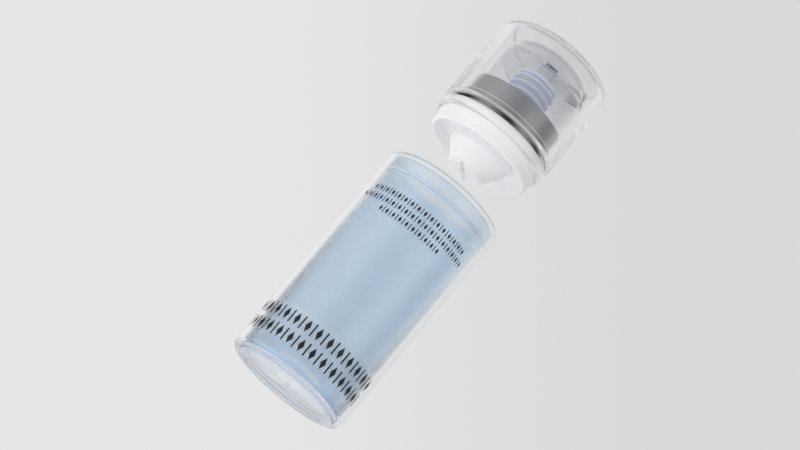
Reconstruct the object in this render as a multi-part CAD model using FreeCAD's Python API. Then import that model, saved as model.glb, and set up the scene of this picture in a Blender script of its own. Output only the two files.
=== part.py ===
import FreeCAD, Part
import math
import os

# An airless pump bottle of the 50 ml class, with its pump head lifted straight out of the mouth.
# Millimetres, +Z up. The origin is the centre of the foot, on the surface that the bottle stands on.

# Outer bottle: a clear, thick-walled cup, a little wider at the mouth so that it leaves its mould
bottle_height = 81.2
bottle_diameter = 44.2
bottle_draft = 0.5
bottle_mouth_wall = 2.35
bottle_base_wall = 2.1
bottle_floor = 1.3
bottle_lip_rounding = 0.9
foot_rounding = 1.8
foot_recess = 0.5
foot_ring_width = 3.4
foot_vent_diameter = 1.6

# Inner liner with its base disc and the follower piston that climbs as the bottle empties
liner_clearance = 0.2
liner_wall = 0.9
liner_rim_rounding = 0.2
liner_neck_clearance = 0.1
liner_neck_wall = 0.55
liner_neck_drop = 1.7
base_disc_thickness = 1.2
base_disc_rim_width = 1.1
base_disc_rim_height = 0.3
base_disc_vent_diameter = 2.0
base_rib_count = 6
base_rib_thickness = 0.8
base_rib_height = 0.25
base_hub_diameter = 7.0
follower_rest_height = 7.9
follower_height = 11.0
follower_lip_height = 1.6
follower_lip_relief = 0.45
follower_wall = 1.2
follower_web = 1.4
follower_web_height_share = 0.38
follower_well_clearance = 0.5
follower_well_wall = 0.9
follower_edge_rounding = 0.3
gasket_thickness = 1.2
gasket_rounding = 0.3

# Collar that plugs the mouth, with its clear shoulder ring
head_gap = 23.2
skirt_depth = 5.3
skirt_clearance = 0.1
skirt_wall = 1.3
skirt_chamfer = 0.5
collar_step = 0.35
collar_web = 1.4
shoulder_height = 3.2
shoulder_inset = 1.0
shoulder_low_rounding = 1.3
shoulder_top_rounding = 0.3
snap_ring_wall = 1.1
snap_ring_height = 2.0
snap_lip = 0.3
snap_slot_count = 6
snap_slot_width = 2.4

# Metal trim and the clear overcap that stands on it
trim_inset = 1.1
trim_height = 2.4
trim_rounding = 0.2
sleeve_height = 11.9
sleeve_foot_height = 5.3
sleeve_step = 0.8
sleeve_wall = 0.4
sleeve_lip_rounding = 0.15
cap_height = 32.7
cap_inset = 0.6
cap_wall = 3.1
cap_draft = 0.2
cap_top_thickness = 1.3
cap_outer_rounding = 3.0
cap_inner_rounding = 2.2
cap_rim_rounding = 0.4

# Pump: housing, inlet, valves, chamber piston, stem and bellows
stroke = 4.0
inlet_depth = 12.6
inlet_tip_diameter = 13.8
inlet_cage_height = 1.2
inlet_plug_height = 0.9
inlet_hole_diameter = 4.0
inlet_slot_count = 4
inlet_slot_width = 1.6
inlet_slot_depth = 0.8
inlet_rounding = 0.35
bowl_diameter = 22.4
bowl_depth = 5.2
bowl_wall = 1.2
bowl_tip_height = 0.4
bowl_flange_width = 0.8
bowl_flange_thickness = 1.0
chamber_diameter = 11.2
chamber_wall = 1.2
chamber_floor = 1.2
inlet_port_diameter = 3.2
inlet_valve_diameter = 5.2
inlet_valve_thickness = 0.8
inlet_valve_lift = 0.8
inlet_spindle_diameter = 2.2
inlet_spindle_length = 1.6
piston_height = 4.5
piston_lip_height = 1.3
piston_lip_relief = 0.5
piston_cup_depth = 1.1
piston_cup_wall = 0.8
stem_diameter = 4.8
stem_bore_diameter = 2.6
stem_foot_height = 0.6
guide_flange_thickness = 1.2
guide_plug_height = 2.5
guide_rim_width = 0.5
guide_rim_height = 0.8
guide_rise = 0.1
bellows_diameter = 15.8
bellows_root_diameter = 11.4
bellows_wall = 0.7
bellows_turns = 4
bellows_end_ring = 1.1
bellows_top_diameter = 15.0
bellows_crest_share = 0.3

# Actuator dome with its side nozzle
actuator_wall = 1.2
actuator_dome_rounding = 9.0
actuator_overlap = 1.0
actuator_foot_rounding = 0.3
socket_wall = 0.6
spring_plate_inset = 0.4
spring_plate_thickness = 1.3
socket_ring_count = 3
socket_ring_width = 0.35
socket_ring_height = 0.6
socket_ring_pitch = 1.7
socket_ring_drop = 0.7
nozzle_drop = 5.25
nozzle_diameter = 5.0
nozzle_channel_diameter = 2.4
nozzle_face_inset = 1.35
nozzle_face_margin = 0.35
insert_length = 4.2
insert_wall = 0.7
insert_bore_diameter = 1.8
insert_proud = 0.15
insert_mouth_chamfer = 0.4
outlet_ball_diameter = 3.8
outlet_ball_lift = 0.8
stem_socket_depth = 0.9

# Clearances that several pieces share
seat_gap = 0.1
rest_gap = 0.03
fit_gap = 0.03
running_gap = 0.05
cap_gap = 0.2
actuator_gap = 0.25
seal_gap = 0.2
headroom = 0.7
cut_overrun = 1.0
rounding_limit_share = 0.4

# Radii that follow from the sizes above
mouth_radius = bottle_diameter / 2
base_radius = mouth_radius - bottle_draft
mouth_bore_radius = mouth_radius - bottle_mouth_wall
floor_bore_radius = base_radius - bottle_base_wall
liner_radius = floor_bore_radius - liner_clearance
liner_bore_radius = liner_radius - liner_wall
liner_neck_radius = mouth_bore_radius - liner_neck_clearance
liner_neck_bore_radius = liner_neck_radius - liner_neck_wall
skirt_radius = liner_neck_bore_radius - skirt_clearance
collar_radius = skirt_radius + collar_step
shoulder_bore_radius = collar_radius + fit_gap
shoulder_radius = mouth_radius - shoulder_inset
trim_radius = shoulder_radius - trim_inset
cap_radius = mouth_radius - cap_inset
cap_bore_radius = cap_radius - cap_wall
sleeve_foot_radius = cap_bore_radius - cap_gap
sleeve_radius = sleeve_foot_radius - sleeve_step
sleeve_bore_radius = sleeve_radius - sleeve_wall
actuator_radius = sleeve_bore_radius - actuator_gap
upstand_radius = sleeve_foot_radius - sleeve_wall - fit_gap
upstand_bore_radius = actuator_radius + actuator_gap
bowl_radius = bowl_diameter / 2
bowl_flange_radius = bowl_radius + bowl_flange_width
chamber_radius = chamber_diameter / 2
tube_radius = chamber_radius + chamber_wall
inlet_tip_radius = inlet_tip_diameter / 2
inlet_plug_radius = inlet_tip_radius - bowl_wall - fit_gap
stem_radius = stem_diameter / 2
stem_bore_radius = stem_bore_diameter / 2
bellows_radius = bellows_diameter / 2
bellows_root_radius = bellows_root_diameter / 2
socket_bore_radius = stem_radius + fit_gap
socket_radius = socket_bore_radius + socket_wall
outlet_ball_radius = outlet_ball_diameter / 2
nozzle_radius = nozzle_diameter / 2
insert_radius = nozzle_channel_diameter / 2 + insert_wall

# Heights that follow from the sizes above
floor_top = foot_recess + bottle_floor
liner_bottom = floor_top + rest_gap
gasket_top = bottle_height - skirt_depth - seal_gap
liner_ledge = gasket_top - gasket_thickness - rest_gap
liner_top = bottle_height - liner_neck_drop
disc_top = liner_bottom + base_disc_thickness
seat_height = bottle_height + head_gap
skirt_bottom = seat_height - skirt_depth
shoulder_top = seat_height + shoulder_height
trim_bottom = shoulder_top + rest_gap
trim_top = shoulder_top + trim_height
sleeve_top = shoulder_top + sleeve_height
sleeve_foot_top = shoulder_top + sleeve_foot_height
cap_bottom = trim_top + seat_gap
cap_top = cap_bottom + cap_height
actuator_top = cap_top - cap_top_thickness - headroom
actuator_bottom = sleeve_top - actuator_overlap
nozzle_height = actuator_top - nozzle_drop
bellows_top = nozzle_height - nozzle_radius - spring_plate_thickness / 2
spring_plate_top = bellows_top + spring_plate_thickness
guide_top = sleeve_top + guide_rise
housing_top = guide_top - guide_flange_thickness
inlet_tip = seat_height - inlet_depth
housing_bottom = inlet_tip + inlet_cage_height
chamber_floor_bottom = housing_bottom + inlet_plug_height + fit_gap
chamber_floor_top = chamber_floor_bottom + chamber_floor
inlet_valve_bottom = chamber_floor_top + fit_gap
inlet_valve_top = inlet_valve_bottom + inlet_valve_thickness
piston_bottom = inlet_valve_top + inlet_valve_lift + seal_gap + stroke + stem_foot_height
piston_top = piston_bottom + piston_height
stem_top = bellows_top + stem_socket_depth
ball_rise = math.sqrt(outlet_ball_radius ** 2 - stem_bore_radius ** 2)
ball_height = stem_top + ball_rise + fit_gap
socket_top = ball_height + outlet_ball_radius + outlet_ball_lift + headroom
nozzle_face = actuator_radius - nozzle_face_inset

axis_start = FreeCAD.Vector(0, 0, 0)
up = FreeCAD.Vector(0, 0, 1)
outward = FreeCAD.Vector(1, 0, 0)


def corner_arc(before, corner, after, rounding):
    """Returns the start, middle and end of the arc that rounds a corner of an outline."""
    to_before = (before - corner).normalize()
    to_after = (after - corner).normalize()
    half_angle = to_before.getAngle(to_after) / 2
    reach = rounding / math.tan(half_angle)
    inwards = (to_before + to_after).normalize()
    middle = corner + inwards * (rounding / math.sin(half_angle) - rounding)
    return corner + to_before * reach, middle, corner + to_after * reach


def outline_face(corners, place):
    """Makes a flat face from corners of an outline: two measures and, where it is rounded, a radius."""
    points = [place(corner[0], corner[1]) for corner in corners]
    stops = []
    for index, corner in enumerate(corners):
        if len(corner) == 3:
            before = points[index - 1]
            after = points[(index + 1) % len(points)]
            stops.append(corner_arc(before, points[index], after, corner[2]))
        else:
            stops.append((points[index],))
    edges = []
    for index, stop in enumerate(stops):
        if len(stop) == 3:
            edges.append(Part.Arc(*stop).toShape())
        following = stops[(index + 1) % len(stops)][0]
        if stop[-1].distanceToPoint(following) > Part.Precision.confusion():
            edges.append(Part.LineSegment(stop[-1], following).toShape())
    return Part.Face(Part.Wire(edges))


def turned(corners):
    """Turns an outline of (radius, height, rounding) corners about the bottle's axis."""
    face = outline_face(corners, lambda radius, height: FreeCAD.Vector(radius, 0, height))
    return closed_solid(face.revolve(axis_start, up, 360))


def turned_about_nozzle(corners):
    """Turns an outline of (distance, radius, rounding) corners about the nozzle's level axis."""
    axle = FreeCAD.Vector(0, 0, nozzle_height)
    face = outline_face(corners, lambda reach, radius: axle + FreeCAD.Vector(reach, 0, radius))
    return closed_solid(face.revolve(axle, outward, 360))


def closed_solid(shape):
    """Returns the shape as one outward-facing solid."""
    solid = shape.Solids[0] if shape.Solids else Part.Solid(shape)
    if solid.Volume < 0:
        solid.reverse()
    return solid


def edge_rounding(rounding, wall):
    """Returns the rounding of a wall's edge, which leaves some of the wall's end flat."""
    return min(rounding, wall * rounding_limit_share)


def block(size_x, size_y, size_z, low_corner):
    """Returns a box from its lowest corner."""
    return Part.makeBox(size_x, size_y, size_z, low_corner)


def cylinder(radius, height, low_end, direction=up):
    """Returns a cylinder from the middle of its lower end."""
    return Part.makeCylinder(radius, height, low_end, direction)


def around(shape, count):
    """Returns copies of a shape, evenly spaced round the bottle's axis."""
    copies = []
    for index in range(count):
        copy = shape.copy()
        copy.rotate(axis_start, up, 360 / count * index)
        copies.append(copy)
    return copies


def outer_bottle():
    """Clear outer bottle: drafted walls, rounded lip, and a foot ring round a recessed, vented floor."""
    foot_ring_inner = base_radius - foot_ring_width
    vent_radius = foot_vent_diameter / 2
    lip_rounding = edge_rounding(bottle_lip_rounding, bottle_mouth_wall)
    return turned([
        (vent_radius, foot_recess),
        (foot_ring_inner - foot_recess, foot_recess),
        (foot_ring_inner, 0),
        (base_radius, 0, foot_rounding),
        (mouth_radius, bottle_height, lip_rounding),
        (mouth_bore_radius, bottle_height, lip_rounding),
        (floor_bore_radius, floor_top),
        (vent_radius, floor_top),
    ])


def inner_liner():
    """Blue liner: a tube that stands on the outer bottle's floor, with a ledge and a wider neck."""
    rim_rounding = edge_rounding(liner_rim_rounding, liner_neck_wall)
    neck_bottom = liner_ledge - liner_wall
    flare = liner_neck_radius - liner_radius
    return turned([
        (liner_bore_radius, liner_bottom),
        (liner_radius, liner_bottom),
        (liner_radius, neck_bottom - flare),
        (liner_neck_radius, neck_bottom),
        (liner_neck_radius, liner_top, rim_rounding),
        (liner_neck_bore_radius, liner_top, rim_rounding),
        (liner_neck_bore_radius, liner_ledge),
        (liner_bore_radius, liner_ledge),
    ])


def base_disc():
    """Vented disc that closes the liner's foot, stiffened by low spokes from a hub to a raised rim."""
    disc_radius = liner_bore_radius - fit_gap
    rim_radius = disc_radius - base_disc_rim_width
    rim_top = disc_top + base_disc_rim_height
    hub_radius = base_hub_diameter / 2
    vent_radius = base_disc_vent_diameter / 2
    disc = turned([
        (vent_radius, liner_bottom),
        (disc_radius, liner_bottom),
        (disc_radius, rim_top),
        (rim_radius, rim_top),
        (rim_radius, disc_top),
        (hub_radius, disc_top),
        (hub_radius, disc_top + base_rib_height),
        (vent_radius, disc_top + base_rib_height),
    ])
    rib_start = (hub_radius + vent_radius) / 2
    rib_end = rim_radius + base_disc_rim_width / 2
    rib_bottom = liner_bottom + base_disc_thickness / 2
    rib_corner = FreeCAD.Vector(rib_start, -base_rib_thickness / 2, rib_bottom)
    rib_rise = disc_top + base_rib_height - rib_bottom
    rib = block(rib_end - rib_start, base_rib_thickness, rib_rise, rib_corner)
    return disc.fuse(around(rib, base_rib_count)).removeSplitter()


def follower_piston():
    """Follower: two wiping lips, a web between them, and a well that takes the pump's inlet tip."""
    lip_radius = liner_bore_radius - running_gap
    waist_radius = lip_radius - follower_lip_relief
    cup_radius = waist_radius - follower_wall
    bottom = follower_rest_height
    top = bottom + follower_height
    web_bottom = bottom + follower_height * follower_web_height_share
    web_top = web_bottom + follower_web
    well_radius = inlet_tip_radius + follower_well_clearance
    boss_radius = well_radius + follower_well_wall
    return turned([
        (0, bottom),
        (boss_radius, bottom, follower_edge_rounding),
        (boss_radius, web_bottom),
        (cup_radius, web_bottom),
        (cup_radius, bottom),
        (lip_radius, bottom, follower_edge_rounding),
        (lip_radius, bottom + follower_lip_height),
        (waist_radius, bottom + follower_lip_height + follower_lip_relief),
        (waist_radius, top - follower_lip_height - follower_lip_relief),
        (lip_radius, top - follower_lip_height),
        (lip_radius, top, follower_edge_rounding),
        (waist_radius, top),
        (cup_radius, top - follower_lip_height),
        (cup_radius, web_top),
        (well_radius, web_top, follower_edge_rounding),
        (well_radius, bottom + follower_web),
        (0, bottom + follower_web),
    ])


def neck_gasket():
    """Soft ring on the liner's ledge, against which the collar's skirt seals."""
    gasket_radius = liner_neck_bore_radius - fit_gap
    rounding = edge_rounding(gasket_rounding, gasket_radius - liner_bore_radius)
    bottom = liner_ledge + rest_gap
    return turned([
        (liner_bore_radius, bottom),
        (gasket_radius, bottom),
        (gasket_radius, gasket_top, rounding),
        (liner_bore_radius, gasket_top, rounding),
    ])


def collar():
    """White collar: the stepped skirt that plugs the mouth, the snap ring and the sleeve's upstand."""
    bore_radius = bowl_radius + fit_gap
    skirt_bore_radius = skirt_radius - skirt_wall
    snap_bore_radius = bowl_flange_radius + fit_gap
    snap_radius = snap_bore_radius + snap_ring_wall
    snap_top = seat_height + snap_ring_height
    flange_top = seat_height + bowl_flange_thickness + fit_gap
    upstand_top = sleeve_foot_top - sleeve_wall
    step_bottom = seat_height - liner_neck_drop + rest_gap
    body = turned([
        (bore_radius, seat_height - collar_web),
        (skirt_bore_radius, seat_height - collar_web),
        (skirt_bore_radius, skirt_bottom),
        (skirt_radius - skirt_chamfer, skirt_bottom),
        (skirt_radius, skirt_bottom + skirt_chamfer),
        (skirt_radius, step_bottom),
        (collar_radius, step_bottom),
        (collar_radius, shoulder_top),
        (upstand_radius, shoulder_top),
        (upstand_radius, upstand_top),
        (upstand_bore_radius, upstand_top),
        (upstand_bore_radius, seat_height),
        (snap_radius, seat_height),
        (snap_radius, snap_top),
        (snap_bore_radius, snap_top),
        (snap_bore_radius - snap_lip, flange_top + snap_lip),
        (snap_bore_radius - snap_lip, flange_top),
        (snap_bore_radius, flange_top),
        (snap_bore_radius, seat_height),
        (bore_radius, seat_height),
    ])
    slot_length = (snap_radius + upstand_bore_radius) / 2 - bowl_radius
    slot_corner = FreeCAD.Vector(bowl_radius, -snap_slot_width / 2, seat_height)
    slot = block(slot_length, snap_slot_width, snap_ring_height + cut_overrun, slot_corner)
    return body.cut(around(slot, snap_slot_count))


def shoulder_ring():
    """Clear ring round the collar, rounded below, that rests on the bottle's lip."""
    return turned([
        (shoulder_bore_radius, seat_height),
        (shoulder_radius, seat_height, shoulder_low_rounding),
        (shoulder_radius, shoulder_top, shoulder_top_rounding),
        (shoulder_bore_radius, shoulder_top),
    ])


def trim_band():
    """Polished metal band between the shoulder ring and the overcap."""
    bore_radius = sleeve_foot_radius + fit_gap
    return turned([
        (bore_radius, trim_bottom),
        (trim_radius, trim_bottom, trim_rounding),
        (trim_radius, trim_top, trim_rounding),
        (bore_radius, trim_top),
    ])


def metal_sleeve():
    """Thin drawn metal sleeve, stepped in above its foot, that guides the actuator's skirt."""
    foot_bore_radius = sleeve_foot_radius - sleeve_wall
    lip_rounding = edge_rounding(sleeve_lip_rounding, sleeve_wall)
    return turned([
        (foot_bore_radius, trim_bottom),
        (sleeve_foot_radius, trim_bottom),
        (sleeve_foot_radius, sleeve_foot_top, sleeve_wall),
        (sleeve_radius, sleeve_foot_top + sleeve_wall, sleeve_wall),
        (sleeve_radius, sleeve_top, lip_rounding),
        (sleeve_bore_radius, sleeve_top, lip_rounding),
        (sleeve_bore_radius, sleeve_foot_top),
        (foot_bore_radius, sleeve_foot_top - sleeve_wall),
    ])


def overcap():
    """Clear overcap: thick drafted wall, rounded crown, standing on the trim band."""
    crown_radius = cap_radius - cap_draft
    crown_bore_radius = cap_bore_radius - cap_draft
    ceiling = cap_top - cap_top_thickness
    return turned([
        (cap_bore_radius, cap_bottom, cap_rim_rounding),
        (cap_radius, cap_bottom, cap_rim_rounding),
        (crown_radius, cap_top, cap_outer_rounding),
        (0, cap_top),
        (0, ceiling),
        (crown_bore_radius, ceiling, cap_inner_rounding),
    ])


def pump_housing():
    """White pump housing: a funnel-bottomed bowl with the chamber tube standing in it."""
    bowl_bottom = seat_height - bowl_depth
    cone_bottom = housing_bottom + bowl_tip_height
    cone_run = bowl_radius - inlet_tip_radius
    cone_rise = bowl_bottom - cone_bottom
    cone_length = math.hypot(cone_run, cone_rise)
    cone_offset = bowl_wall * cone_length / cone_run
    bowl_bore_radius = bowl_radius - bowl_wall
    slope = cone_rise / cone_run
    inner_at_tube = cone_bottom + (tube_radius - inlet_tip_radius) * slope + cone_offset
    inner_at_bowl = cone_bottom + (bowl_bore_radius - inlet_tip_radius) * slope + cone_offset
    flange_top = seat_height + bowl_flange_thickness
    socket_radius_low = inlet_tip_radius - bowl_wall
    port_radius = inlet_port_diameter / 2
    return turned([
        (port_radius, chamber_floor_bottom),
        (socket_radius_low, chamber_floor_bottom),
        (socket_radius_low, housing_bottom),
        (inlet_tip_radius, housing_bottom),
        (inlet_tip_radius, cone_bottom),
        (bowl_radius, bowl_bottom),
        (bowl_radius, seat_height),
        (bowl_flange_radius, seat_height),
        (bowl_flange_radius, flange_top),
        (bowl_bore_radius, flange_top),
        (bowl_bore_radius, inner_at_bowl),
        (tube_radius, inner_at_tube),
        (tube_radius, housing_top),
        (chamber_radius, housing_top),
        (chamber_radius, chamber_floor_top),
        (port_radius, chamber_floor_top),
    ])


def inlet_cage():
    """Inlet tip: a plug in the housing's mouth whose slots let the product in from the side."""
    hole_radius = inlet_hole_diameter / 2
    plug_top = housing_bottom + inlet_plug_height
    body = turned([
        (hole_radius, inlet_tip),
        (inlet_tip_radius, inlet_tip, inlet_rounding),
        (inlet_tip_radius, housing_bottom),
        (inlet_plug_radius, housing_bottom),
        (inlet_plug_radius, plug_top),
        (hole_radius, plug_top),
    ])
    slot_length = inlet_tip_radius + cut_overrun - hole_radius / 2
    slot_corner = FreeCAD.Vector(hole_radius / 2, -inlet_slot_width / 2, inlet_tip - cut_overrun)
    slot = block(slot_length, inlet_slot_width, inlet_slot_depth + cut_overrun, slot_corner)
    return body.cut(around(slot, inlet_slot_count))


def inlet_valve():
    """Inlet valve: a disc over the chamber's port, kept central by a short spindle."""
    disc_radius = inlet_valve_diameter / 2
    spindle_radius = inlet_spindle_diameter / 2
    return turned([
        (0, inlet_valve_bottom - inlet_spindle_length),
        (spindle_radius, inlet_valve_bottom - inlet_spindle_length),
        (spindle_radius, inlet_valve_bottom),
        (disc_radius, inlet_valve_bottom),
        (disc_radius, inlet_valve_bottom + inlet_valve_thickness / 2),
        (disc_radius - inlet_valve_thickness / 2, inlet_valve_top),
        (0, inlet_valve_top),
    ])


def chamber_piston():
    """Chamber piston: a sleeve on the stem with a lip at each end that wipes the chamber."""
    lip_radius = chamber_radius - running_gap
    waist_radius = lip_radius - piston_lip_relief
    bore_radius = stem_radius + fit_gap
    cup_inner = bore_radius + piston_cup_wall
    cup_outer = waist_radius - piston_lip_relief
    return turned([
        (bore_radius, piston_bottom),
        (cup_inner, piston_bottom),
        (cup_inner, piston_bottom + piston_cup_depth),
        (cup_outer, piston_bottom + piston_cup_depth),
        (cup_outer, piston_bottom),
        (lip_radius, piston_bottom),
        (lip_radius, piston_bottom + piston_lip_height),
        (waist_radius, piston_bottom + piston_lip_height + piston_lip_relief),
        (waist_radius, piston_top - piston_lip_height - piston_lip_relief),
        (lip_radius, piston_top - piston_lip_height),
        (lip_radius, piston_top),
        (bore_radius, piston_top),
    ])


def stem():
    """Hollow stem from the chamber piston up into the actuator's socket."""
    foot_radius = stem_radius + piston_cup_wall
    foot_bottom = piston_bottom - stem_foot_height
    return turned([
        (stem_bore_radius, foot_bottom),
        (foot_radius, foot_bottom),
        (foot_radius, piston_bottom),
        (stem_radius, piston_bottom),
        (stem_radius, stem_top),
        (stem_bore_radius, stem_top),
    ])


def stem_guide():
    """Guide that closes the chamber, with a rimmed flange on which the bellows stands."""
    bore_radius = stem_radius + running_gap
    plug_radius = chamber_radius - fit_gap
    seat_radius = bellows_radius + fit_gap
    flange_radius = seat_radius + guide_rim_width
    return turned([
        (bore_radius, housing_top - guide_plug_height),
        (plug_radius, housing_top - guide_plug_height),
        (plug_radius, housing_top),
        (flange_radius, housing_top),
        (flange_radius, guide_top + guide_rim_height),
        (seat_radius, guide_top + guide_rim_height),
        (seat_radius, guide_top),
        (bore_radius, guide_top),
    ])


def bellows_corners(crest_radius, root_radius, low, high):
    """Returns the zigzag corners of one side of the bellows, from the bottom up."""
    pitch = (high - low) / bellows_turns
    flat = pitch * bellows_crest_share / 2
    corners = []
    for turn in range(bellows_turns):
        root_end = low + pitch * turn + flat
        crest_middle = low + pitch * turn + pitch / 2
        root_start = low + pitch * (turn + 1) - flat
        corners.append((root_radius, root_end))
        corners.append((crest_radius, crest_middle - flat))
        corners.append((crest_radius, crest_middle + flat))
        corners.append((root_radius, root_start))
    return corners


def bellows_spring():
    """Plastic bellows that lifts the actuator back: thin convolutions between two end rings."""
    bottom = guide_top + rest_gap
    top = bellows_top - rest_gap
    low = bottom + bellows_end_ring
    high = top - bellows_end_ring
    outside = bellows_corners(bellows_radius, bellows_root_radius, low, high)
    bore_radius = bellows_root_radius - bellows_wall
    inside = bellows_corners(bellows_radius - bellows_wall, bore_radius, low, high)
    inside.reverse()
    return turned([
        (bore_radius, bottom),
        (bellows_radius, bottom),
        (bellows_radius, low),
        *outside,
        (bellows_top_diameter / 2, high),
        (bellows_top_diameter / 2, top),
        (bore_radius, top),
        *inside,
    ])


def socket_ring_corners(ceiling):
    """Returns the corners of the stiffening rings under the actuator's crown, from the lowest up."""
    ring_radius = socket_radius + socket_ring_width
    corners = []
    for ring in reversed(range(socket_ring_count)):
        ring_middle = ceiling - socket_ring_drop - socket_ring_pitch * ring
        ring_bottom = ring_middle - socket_ring_height / 2
        ring_top = ring_middle + socket_ring_height / 2
        corners.append((socket_radius, ring_bottom))
        corners.append((ring_radius, ring_bottom))
        corners.append((ring_radius, ring_top))
        corners.append((socket_radius, ring_top))
    return corners


def actuator():
    """Clear actuator: a domed shell over a stem socket, a wide spring plate and a nozzle tube."""
    shell_bore_radius = actuator_radius - actuator_wall
    ceiling = actuator_top - actuator_wall
    plate_radius = shell_bore_radius - spring_plate_inset
    shell_foot_rounding = edge_rounding(actuator_foot_rounding, actuator_wall)
    shell = turned([
        (shell_bore_radius, actuator_bottom, shell_foot_rounding),
        (actuator_radius, actuator_bottom, shell_foot_rounding),
        (actuator_radius, actuator_top, actuator_dome_rounding),
        (0, actuator_top),
        (0, socket_top),
        (socket_bore_radius, socket_top),
        (socket_bore_radius, bellows_top),
        (plate_radius, bellows_top),
        (plate_radius, spring_plate_top),
        (socket_radius, spring_plate_top),
        *socket_ring_corners(ceiling),
        (socket_radius, ceiling),
        (shell_bore_radius, ceiling, actuator_dome_rounding - actuator_wall),
    ])
    tube_start = (socket_bore_radius + socket_radius) / 2
    face_middle = FreeCAD.Vector(nozzle_face, 0, nozzle_height)
    tube = turned_about_nozzle([
        (tube_start, 0),
        (tube_start, nozzle_radius),
        (nozzle_face, nozzle_radius),
        (nozzle_face, 0),
    ])
    facet = cylinder(nozzle_radius + nozzle_face_margin, actuator_radius, face_middle, outward)
    insert_start = nozzle_face - insert_length
    channel = turned_about_nozzle([
        (0, 0),
        (0, nozzle_channel_diameter / 2),
        (insert_start, nozzle_channel_diameter / 2),
        (insert_start, insert_radius + fit_gap),
        (nozzle_face + cut_overrun, insert_radius + fit_gap),
        (nozzle_face + cut_overrun, 0),
    ])
    return shell.fuse(tube).cut(facet).cut(channel).removeSplitter()


def nozzle_insert():
    """Nozzle insert: a small tube with a chamfered mouth, pressed into the actuator's side."""
    start = nozzle_face - insert_length + rest_gap
    end = nozzle_face + insert_proud
    bore_radius = insert_bore_diameter / 2
    flare_radius = min(bore_radius + insert_mouth_chamfer, insert_radius)
    return turned_about_nozzle([
        (start, bore_radius),
        (start, insert_radius),
        (end, insert_radius),
        (end, flare_radius),
        (end - insert_mouth_chamfer, bore_radius),
    ])


def outlet_valve():
    """Outlet valve: a small ball on the stem's upper end."""
    return Part.makeSphere(outlet_ball_radius, FreeCAD.Vector(0, 0, ball_height))


sub_parts = {
    "outer_bottle": outer_bottle,
    "inner_liner": inner_liner,
    "base_disc": base_disc,
    "follower_piston": follower_piston,
    "neck_gasket": neck_gasket,
    "collar": collar,
    "shoulder_ring": shoulder_ring,
    "trim_band": trim_band,
    "metal_sleeve": metal_sleeve,
    "pump_housing": pump_housing,
    "inlet_cage": inlet_cage,
    "inlet_valve": inlet_valve,
    "chamber_piston": chamber_piston,
    "stem": stem,
    "stem_guide": stem_guide,
    "bellows_spring": bellows_spring,
    "actuator": actuator,
    "nozzle_insert": nozzle_insert,
    "outlet_valve": outlet_valve,
    "overcap": overcap,
}

os.makedirs("parts", exist_ok=True)
for node, make in sub_parts.items():
    shape = make()
    shape.exportStep("parts/" + node + ".step")
    print(node, shape.isValid(), len(shape.Solids), round(shape.BoundBox.ZMin, 2), round(shape.BoundBox.ZMax, 2))
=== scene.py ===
import math

import bmesh
import bpy
from bpy.props import FloatProperty, FloatVectorProperty, PointerProperty
from bpy.types import Operator, Panel, PropertyGroup
from mathutils import Matrix, Vector


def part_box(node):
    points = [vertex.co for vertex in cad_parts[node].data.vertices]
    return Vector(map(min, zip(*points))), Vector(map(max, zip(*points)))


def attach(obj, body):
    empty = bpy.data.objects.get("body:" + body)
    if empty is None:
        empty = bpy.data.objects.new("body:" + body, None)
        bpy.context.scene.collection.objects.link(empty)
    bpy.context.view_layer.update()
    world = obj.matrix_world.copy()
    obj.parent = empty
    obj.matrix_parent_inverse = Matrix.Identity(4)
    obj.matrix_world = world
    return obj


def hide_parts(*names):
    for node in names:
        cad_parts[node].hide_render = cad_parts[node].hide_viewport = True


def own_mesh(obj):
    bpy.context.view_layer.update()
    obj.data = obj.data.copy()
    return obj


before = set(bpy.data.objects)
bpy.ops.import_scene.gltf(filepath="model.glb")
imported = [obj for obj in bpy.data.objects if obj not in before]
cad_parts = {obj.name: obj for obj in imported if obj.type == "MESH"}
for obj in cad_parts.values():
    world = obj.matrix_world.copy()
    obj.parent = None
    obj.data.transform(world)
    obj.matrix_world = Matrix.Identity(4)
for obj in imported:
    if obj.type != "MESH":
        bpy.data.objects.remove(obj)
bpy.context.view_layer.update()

bl_info = {
    "name": "Airless pump bottle",
    "version": (1, 0, 0),
    "blender": (4, 5, 0),
    "location": "3D View > Sidebar > Bottle",
    "description": "Dresses a clear airless pump bottle and its lifted pump head",
    "category": "Object",
}

MILLIMETRE = 0.001
SPIN_STEPS = 128
FINE_SPIN_STEPS = 288
ROUNDING_SEGMENTS = 8
EDGE_SEGMENTS = 4
SMALL_ROUNDING = 0.35 * MILLIMETRE
TRACE_TOLERANCE = 0.002 * MILLIMETRE
SMOOTH_ANGLE = math.radians(30)
LARGE_MARKS = 25
SMALL_MARKS = (31, 35, 19)
POLYPROPYLENE_IOR = 1.49
CLEAR_IOR = 1.5
ACRYLIC_IOR = 1.49
MILKY_TRANSMISSION = 0.3
MILKY_ROUGHNESS = 0.35


def linear(hex_colour):
    """Turns an sRGB hex colour into the linear values that shaders use."""
    values = []
    for start in (0, 2, 4):
        share = int(hex_colour[start:start + 2], 16) / 255
        values.append(share / 12.92 if share <= 0.04045 else ((share + 0.055) / 1.055) ** 2.4)
    return tuple(values)


def colour_of(name, description, hex_colour):
    """Returns a colour property with its default as an sRGB hex value."""
    return FloatVectorProperty(name=name, description=description, subtype="COLOR", size=3,
                               min=0, max=1, default=linear(hex_colour))


def length(name, description, millimetres):
    """Returns a length property with its default in millimetres."""
    return FloatProperty(name=name, description=description, unit="LENGTH", precision=5,
                         default=millimetres * MILLIMETRE)


def turn_of(name, description, degrees):
    """Returns an angle property with its default in degrees."""
    return FloatProperty(name=name, description=description, subtype="ANGLE",
                         default=math.radians(degrees))


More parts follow.
